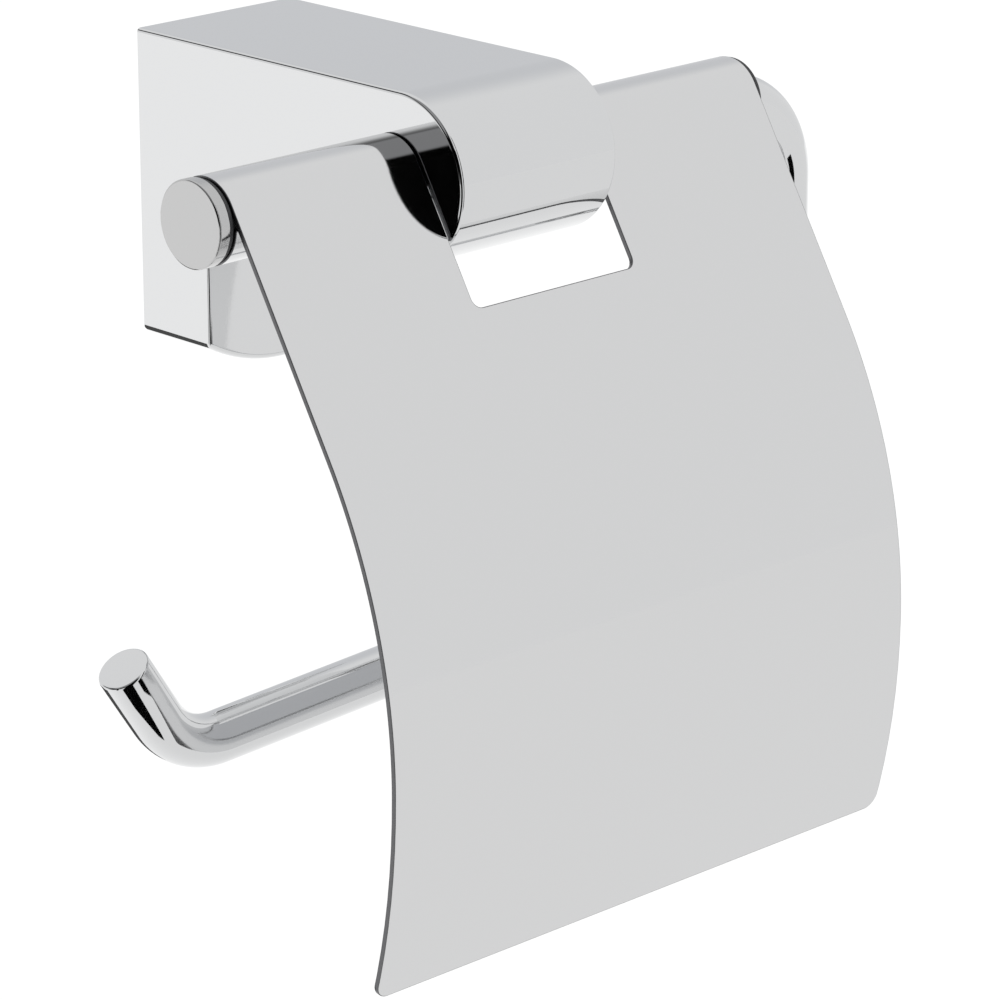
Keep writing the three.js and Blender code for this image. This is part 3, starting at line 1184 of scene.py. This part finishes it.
@dataclass
class Bracket:
    """The stamped wall bracket behind the post.

    Attributes:
        finishes: The finishes to dress it in.
        plate: The plate's thickness.
        hook_width: Width of the hook at the top.
        hook_height: Its height.
        hook_reach: How far the hook stands off the wall.
        lug_width: Width of the lug at the bottom.
        lug_height: Its height.
        lug_reach: How far the lug stands off the wall.
        hole: Radius of the wall screws' holes.
        spacing: Distance between the two holes.
        slot: How much longer than wide a hole is.
        corner: Radius of the plate's corners.
        edge: Radius of the edges.
    """

    finishes: Finishes
    plate: float = 3 * MM
    hook_width: float = 20 * MM
    hook_height: float = 6 * MM
    hook_reach: float = 10 * MM
    lug_width: float = 16 * MM
    lug_height: float = 9 * MM
    lug_reach: float = 14 * MM
    hole: float = 2.6 * MM
    spacing: float = 28 * MM
    slot: float = 2 * MM
    corner: float = 2 * MM
    edge: float = 0.35 * MM

    def build(self) -> bpy.types.Object:
        """Models the bracket: the plate, with the hook and the lug drawn out of it.

        Returns:
            The bracket.
        """
        low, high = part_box("wall_bracket")
        piece = box_between("bracket_plate", Vector((low.x, -self.plate, low.z)), high)
        heights = (high.z - self.hook_height, low.z + self.lug_height)
        widths = (self.hook_width, -self.hook_width, self.lug_width, -self.lug_width)
        cuts = [(Z_AXIS * height, Z_AXIS) for height in heights]
        cuts += [(X_AXIS * width / 2, X_AXIS) for width in widths]
        with editing(piece):
            for place, normal in cuts:
                bpy.ops.mesh.select_all(action="SELECT")
                bpy.ops.mesh.bisect(plane_co=place, plane_no=normal)
            pick(piece, "FACE", lambda face: face.normal.y < -0.9
                 and face.calc_center_median().z > high.z - self.hook_height
                 and abs(face.calc_center_median().x) < self.hook_width / 2)
            push_out(Vector((0, self.plate - self.hook_reach, 0)))
            pick(piece, "FACE", lambda face: face.normal.y < -0.9
                 and face.calc_center_median().z < low.z + self.lug_height
                 and abs(face.calc_center_median().x) < self.lug_width / 2)
            push_out(Vector((0, self.plate - self.lug_reach, 0)))
            bpy.ops.mesh.select_all(action="SELECT")
            bpy.ops.mesh.dissolve_limited(angle_limit=math.radians(1))
            pick(piece, "EDGE", lambda edge: abs(abs(middle(edge).x) - high.x) < NEAR
                 and abs(span(edge).z) < NEAR and abs(span(edge).x) < NEAR)
            bpy.ops.mesh.bevel(offset=self.corner, segments=6, affect="EDGES")
        for side in (-1, 1):
            combine(piece, self.slot_tool(side * self.spacing / 2), "DIFFERENCE")
        round_edges(piece, self.edge, 3)
        smooth(piece, weighted=True)
        self.finishes.dress(piece, "zinc_plate")
        return piece

    def slot_tool(self, height: float) -> bpy.types.Object:
        """A bar with rounded ends, for one wall-screw hole.

        Args:
            height: The hole's z.

        Returns:
            The tool.
        """
        tool = round_bar("slot_tool", Vector((0, -self.plate / 2, height)), self.hole,
                         3 * self.plate, Y_AXIS, 48)
        with editing(tool):
            for side in (-1, 1):
                pick(tool, "VERT", lambda vert: vert.co.x * side > NEAR)
                bpy.ops.transform.translate(value=(side * self.slot / 2, 0, 0))
        return tool


@dataclass
class GrubScrew:
    """A headless socket screw, pointing upwards.

    Attributes:
        finishes: The finishes to dress it in.
        node: The frame's node.
        name: The piece's name.
        pitch: Distance between two threads.
        thread: Depth of the thread.
        socket: Depth of the hexagon socket.
        key: Radius of the socket's corners, as a part of the screw's.
        tip: Length and depth of the bevel at the tip.
    """

    finishes: Finishes
    node: str
    name: str
    pitch: float
    thread: float = 0.35 * MM
    socket: float = 2.5 * MM
    key: float = 0.55
    tip: float = 0.5 * MM

    def build(self) -> bpy.types.Object:
        """Models the screw.

        Returns:
            The screw.
        """
        low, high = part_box(self.node)
        centre = (low + high) / 2
        radius = (high.x - low.x) / 2
        core = radius - self.thread
        foot = Vector((centre.x, centre.y, 0))
        profile = [(0.0, low.z), (core, low.z)]
        steps = ((radius, 0.4), (radius, 0.55), (core, 0.95))
        turns = int((high.z - low.z - self.pitch) / self.pitch)
        for step in range(turns):
            place = low.z + step * self.pitch
            profile += [(reach, place + part * self.pitch) for reach, part in steps]
        profile += [(core, high.z - self.tip), (core - self.tip, high.z), (0.0, high.z)]
        piece = turned(self.name, foot, Z_AXIS, profile, 48)
        tool = round_bar("socket_tool", Vector((centre.x, centre.y, low.z)), self.key * radius,
                         2 * self.socket, Z_AXIS, 6)
        combine(piece, tool, "DIFFERENCE")
        smooth(piece)
        self.finishes.dress(piece, "screw_black")
        return piece


# ---- the studio ----


@dataclass(frozen=True)
class Patch:
    """A soft round area of the surround with a brightness of its own.

    Attributes:
        toward: The direction of its middle.
        inner: Angle from there to where it starts to fade, in degrees.
        outer: Angle from there to where it has gone, in degrees.
        color: Its colour.
    """

    toward: tuple[float, float, float]
    inner: float
    outer: float
    color: tuple[float, float, float]

    def lay(self, graph: Graph, direction: bpy.types.NodeSocket,
            below: bpy.types.NodeSocket) -> bpy.types.NodeSocket:
        """Lays the patch over what is there.

        Args:
            graph: The world's nodes.
            direction: The direction looked in.
            below: The colour so far.

        Returns:
            The colour with the patch.
        """
        near = graph.add("VectorMath", {0: direction, 1: Vector(self.toward).normalized()},
                         operation="DOT_PRODUCT")
        fade = graph.add("MapRange", {"From Min": math.cos(math.radians(self.outer)),
                                      "From Max": math.cos(math.radians(self.inner)),
                                      "Value": near.outputs["Value"]},
                         interpolation_type="SMOOTHSTEP")
        mix = graph.add("Mix", {"Factor": fade.outputs["Result"], "A": below,
                                "B": (*self.color, 1.0)}, data_type="RGBA")
        return mix.outputs["Result"]


@dataclass(frozen=True)
class Card:
    """An upright dark card.

    Attributes:
        start: Where one end stands, as (x, y).
        end: Where the other end stands.
        bottom: Height of its lower edge.
        top: Height of its upper edge.
        tone: Its brightness.
    """

    start: tuple[float, float]
    end: tuple[float, float]
    bottom: float
    top: float
    tone: float = 0.001

    def build(self, name: str) -> bpy.types.Object:
        """Models the card.

        Args:
            name: The card's name.

        Returns:
            The card.
        """
        run = Vector(self.end) - Vector(self.start)
        mid = (Vector(self.end) + Vector(self.start)) / 2
        clear_selection()
        bpy.ops.mesh.primitive_cube_add(
            size=1, location=(*mid, (self.top + self.bottom) / 2),
            rotation=(0, 0, math.atan2(run.y, run.x)),
            scale=(run.length, 2 * MM, self.top - self.bottom))
        return placed(name)


@dataclass
class Studio:
    """A pale floor, a bright surround and a camera.

    Attributes:
        target: The point that the camera looks at.
        distance: The camera's distance from it.
        azimuth: The camera's direction round the object, in degrees.
        elevation: The camera's height over the level, in degrees.
        lens: The camera's lens, in millimetres.
        base: The surround's colour where no patch lies.
        patches: Its brighter and darker areas, in order.
        cards: The dark cards.
        floor_z: The floor's height.
        floor_size: Its side.
        floor_tone: Its brightness in the light.
        floor_fade: Where its painted glow starts and ends changing, as two places along Y.
        floor_glow: The painted glow before and after, which stands in for light on the floor.
    """

    target: Vector = field(default_factory=lambda: Vector((0.00725, -0.0724, -0.05564)))
    distance: float = 0.9124
    azimuth: float = -44.262
    elevation: float = 18.213
    lens: float = 171.46
    base: tuple[float, float, float] = (0.845, 0.847, 0.85)
    patches: tuple[Patch, ...] = (
        Patch((0.66, 0.68, 0.31), 2, 38, (0.67, 0.68, 0.7)),
        Patch((-0.863, -0.075, 0.5), 30, 52, (0.001, 0.001, 0.001)),
        Patch((-0.7, 0.12, 0.72), 20, 27, (0.3, 0.3, 0.305)),
        Patch((-0.48, 0.68, 0.55), 7, 14, (0.03, 0.03, 0.035)),
    )
    cards: tuple[Card, ...] = (Card((0.12, -0.503), (-0.02, -0.417), -0.23, 0.5),
                               Card((-0.13, -0.35), (-0.333, -0.226), -0.6, 0.2),
                               Card((-0.5, -0.124), (-0.62, -0.05), -0.42, 0.2),
                               Card((-0.26, 0.33), (0.16, 0.33), -0.5, -0.22, 0.1))
    floor_z: float = -0.6
    floor_size: float = 8.0
    floor_tone: float = 0.2
    floor_fade: tuple[float, float] = (-0.4, 0.5)
    floor_glow: tuple[float, float] = (0.725, 0.91)

    def build(self) -> None:
        """Makes the floor, the cards, the surround and the camera."""
        self.floor()
        self.flags()
        self.surround()
        self.camera()
        view = bpy.context.scene.view_settings
        view.view_transform = "Standard"
        view.look = "None"

    def floor(self) -> None:
        """A pale floor well under the object: its paleness is mostly a painted glow, brighter
        behind it than before it, which stands in for light.
        """
        clear_selection()
        bpy.ops.mesh.primitive_plane_add(size=self.floor_size, location=(0, 0, self.floor_z))
        floor = placed("floor")
        material, graph, shader = matte("floor_paper", self.floor_tone)
        place = graph.add("TexCoord").outputs["Object"]
        parts = graph.add("SeparateXYZ", {"Vector": place})
        # Painted light: the floor's glow rises from front to back, so the floor is brighter behind
        # the object than before it.
        painted_glow = graph.add("MapRange", {
            "From Min": self.floor_fade[0], "From Max": self.floor_fade[1],
            "To Min": self.floor_glow[0], "To Max": self.floor_glow[1],
            "Value": parts.outputs["Y"]}, interpolation_type="SMOOTHSTEP")
        graph.feed(shader.inputs["Emission Strength"], painted_glow.outputs["Result"])
        graph.feed(shader.inputs["Emission Color"], (1.0, 1.0, 1.0, 1.0))
        floor.data.materials.append(material)

    def flags(self) -> None:
        """The dark cards that draw the lines in the chrome. The camera doesn't see them."""
        for number, card in enumerate(self.cards):
            piece = card.build(f"dark_card_{number}")
            material, _, _ = matte(f"dark_card_{number}", card.tone)
            piece.data.materials.append(material)
            piece.visible_camera = False
            piece.visible_diffuse = False
            piece.visible_shadow = False

    def surround(self) -> None:
        """The soft light from every side."""
        world = bpy.data.worlds.new("surround")
        world.use_nodes = True
        bpy.context.scene.world = world
        graph = Graph(world.node_tree)
        direction = graph.add("TexCoord").outputs["Generated"]
        color = graph.add("RGB").outputs["Color"]
        color.default_value = (*self.base, 1.0)
        for patch in self.patches:
            color = patch.lay(graph, direction, color)
        seen = graph.add("LightPath").outputs["Is Camera Ray"]
        mix = graph.add("Mix", {"Factor": seen, "A": color, "B": (1.0, 1.0, 1.0, 1.0)},
                        data_type="RGBA")
        graph.feed(world.node_tree.nodes["Background"].inputs["Color"], mix.outputs["Result"])

    def camera(self) -> None:
        """The camera."""
        data = bpy.data.cameras.new("camera")
        data.lens = self.lens
        data.clip_start, data.clip_end = 0.01, 50
        camera = bpy.data.objects.new("camera", data)
        bpy.context.scene.collection.objects.link(camera)
        around, up = math.radians(self.azimuth), math.radians(self.elevation)
        back = Vector((math.sin(around) * math.cos(up), -math.cos(around) * math.cos(up),
                       math.sin(up)))
        camera.location = self.target + back * self.distance
        camera.rotation_euler = (math.radians(90) - up, 0, around)
        bpy.context.scene.camera = camera


def main() -> None:
    """Builds the model and its studio."""
    logging.basicConfig(level=logging.INFO, format="%(name)s: %(message)s")
    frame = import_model()
    hinge = Hinge.from_frame(frame["joints"])
    finishes = Finishes()
    finishes.build()
    small = HingePieces(hinge, finishes)
    install(Post(hinge, finishes).build(), Body.POST, Slot.POST, "post_body")
    install(Bracket(finishes).build(), Body.POST, Slot.BRACKET, "wall_bracket")
    for node, name, pitch in (("body_grub_screw", "post_screw", 0.8 * MM),
                              ("rod_grub_screw", "nose_screw", 0.7 * MM)):
        install(GrubScrew(finishes, node, name, pitch).build(), Body.POST, Slot.SCREW, node)
    install(Rod(hinge, finishes).build(), Body.POST, Slot.ROD, "bent_rod")
    install(small.cap(), Body.POST, Slot.ROD, "end_cap")
    install(small.washer(), Body.POST, Slot.BRACKET, "spring_washer")
    install(Cover(hinge, finishes).build(), Body.FLAP, Slot.COVER, "cover")
    for node, name, play, flange in (
            ("bush_left", "left_bush", small.running, False),
            ("bush_right", "right_bush", small.running, False),
            ("flanged_bush", "left_flanged_bush", small.running, True),
            ("outer_bush_right", "elbow_bush", small.elbow_running, True)):
        install(small.bush(node, name, play, flange), Body.FLAP, Slot.BUSH, node)
    Studio().build()


if __name__ == "__main__":
    main()
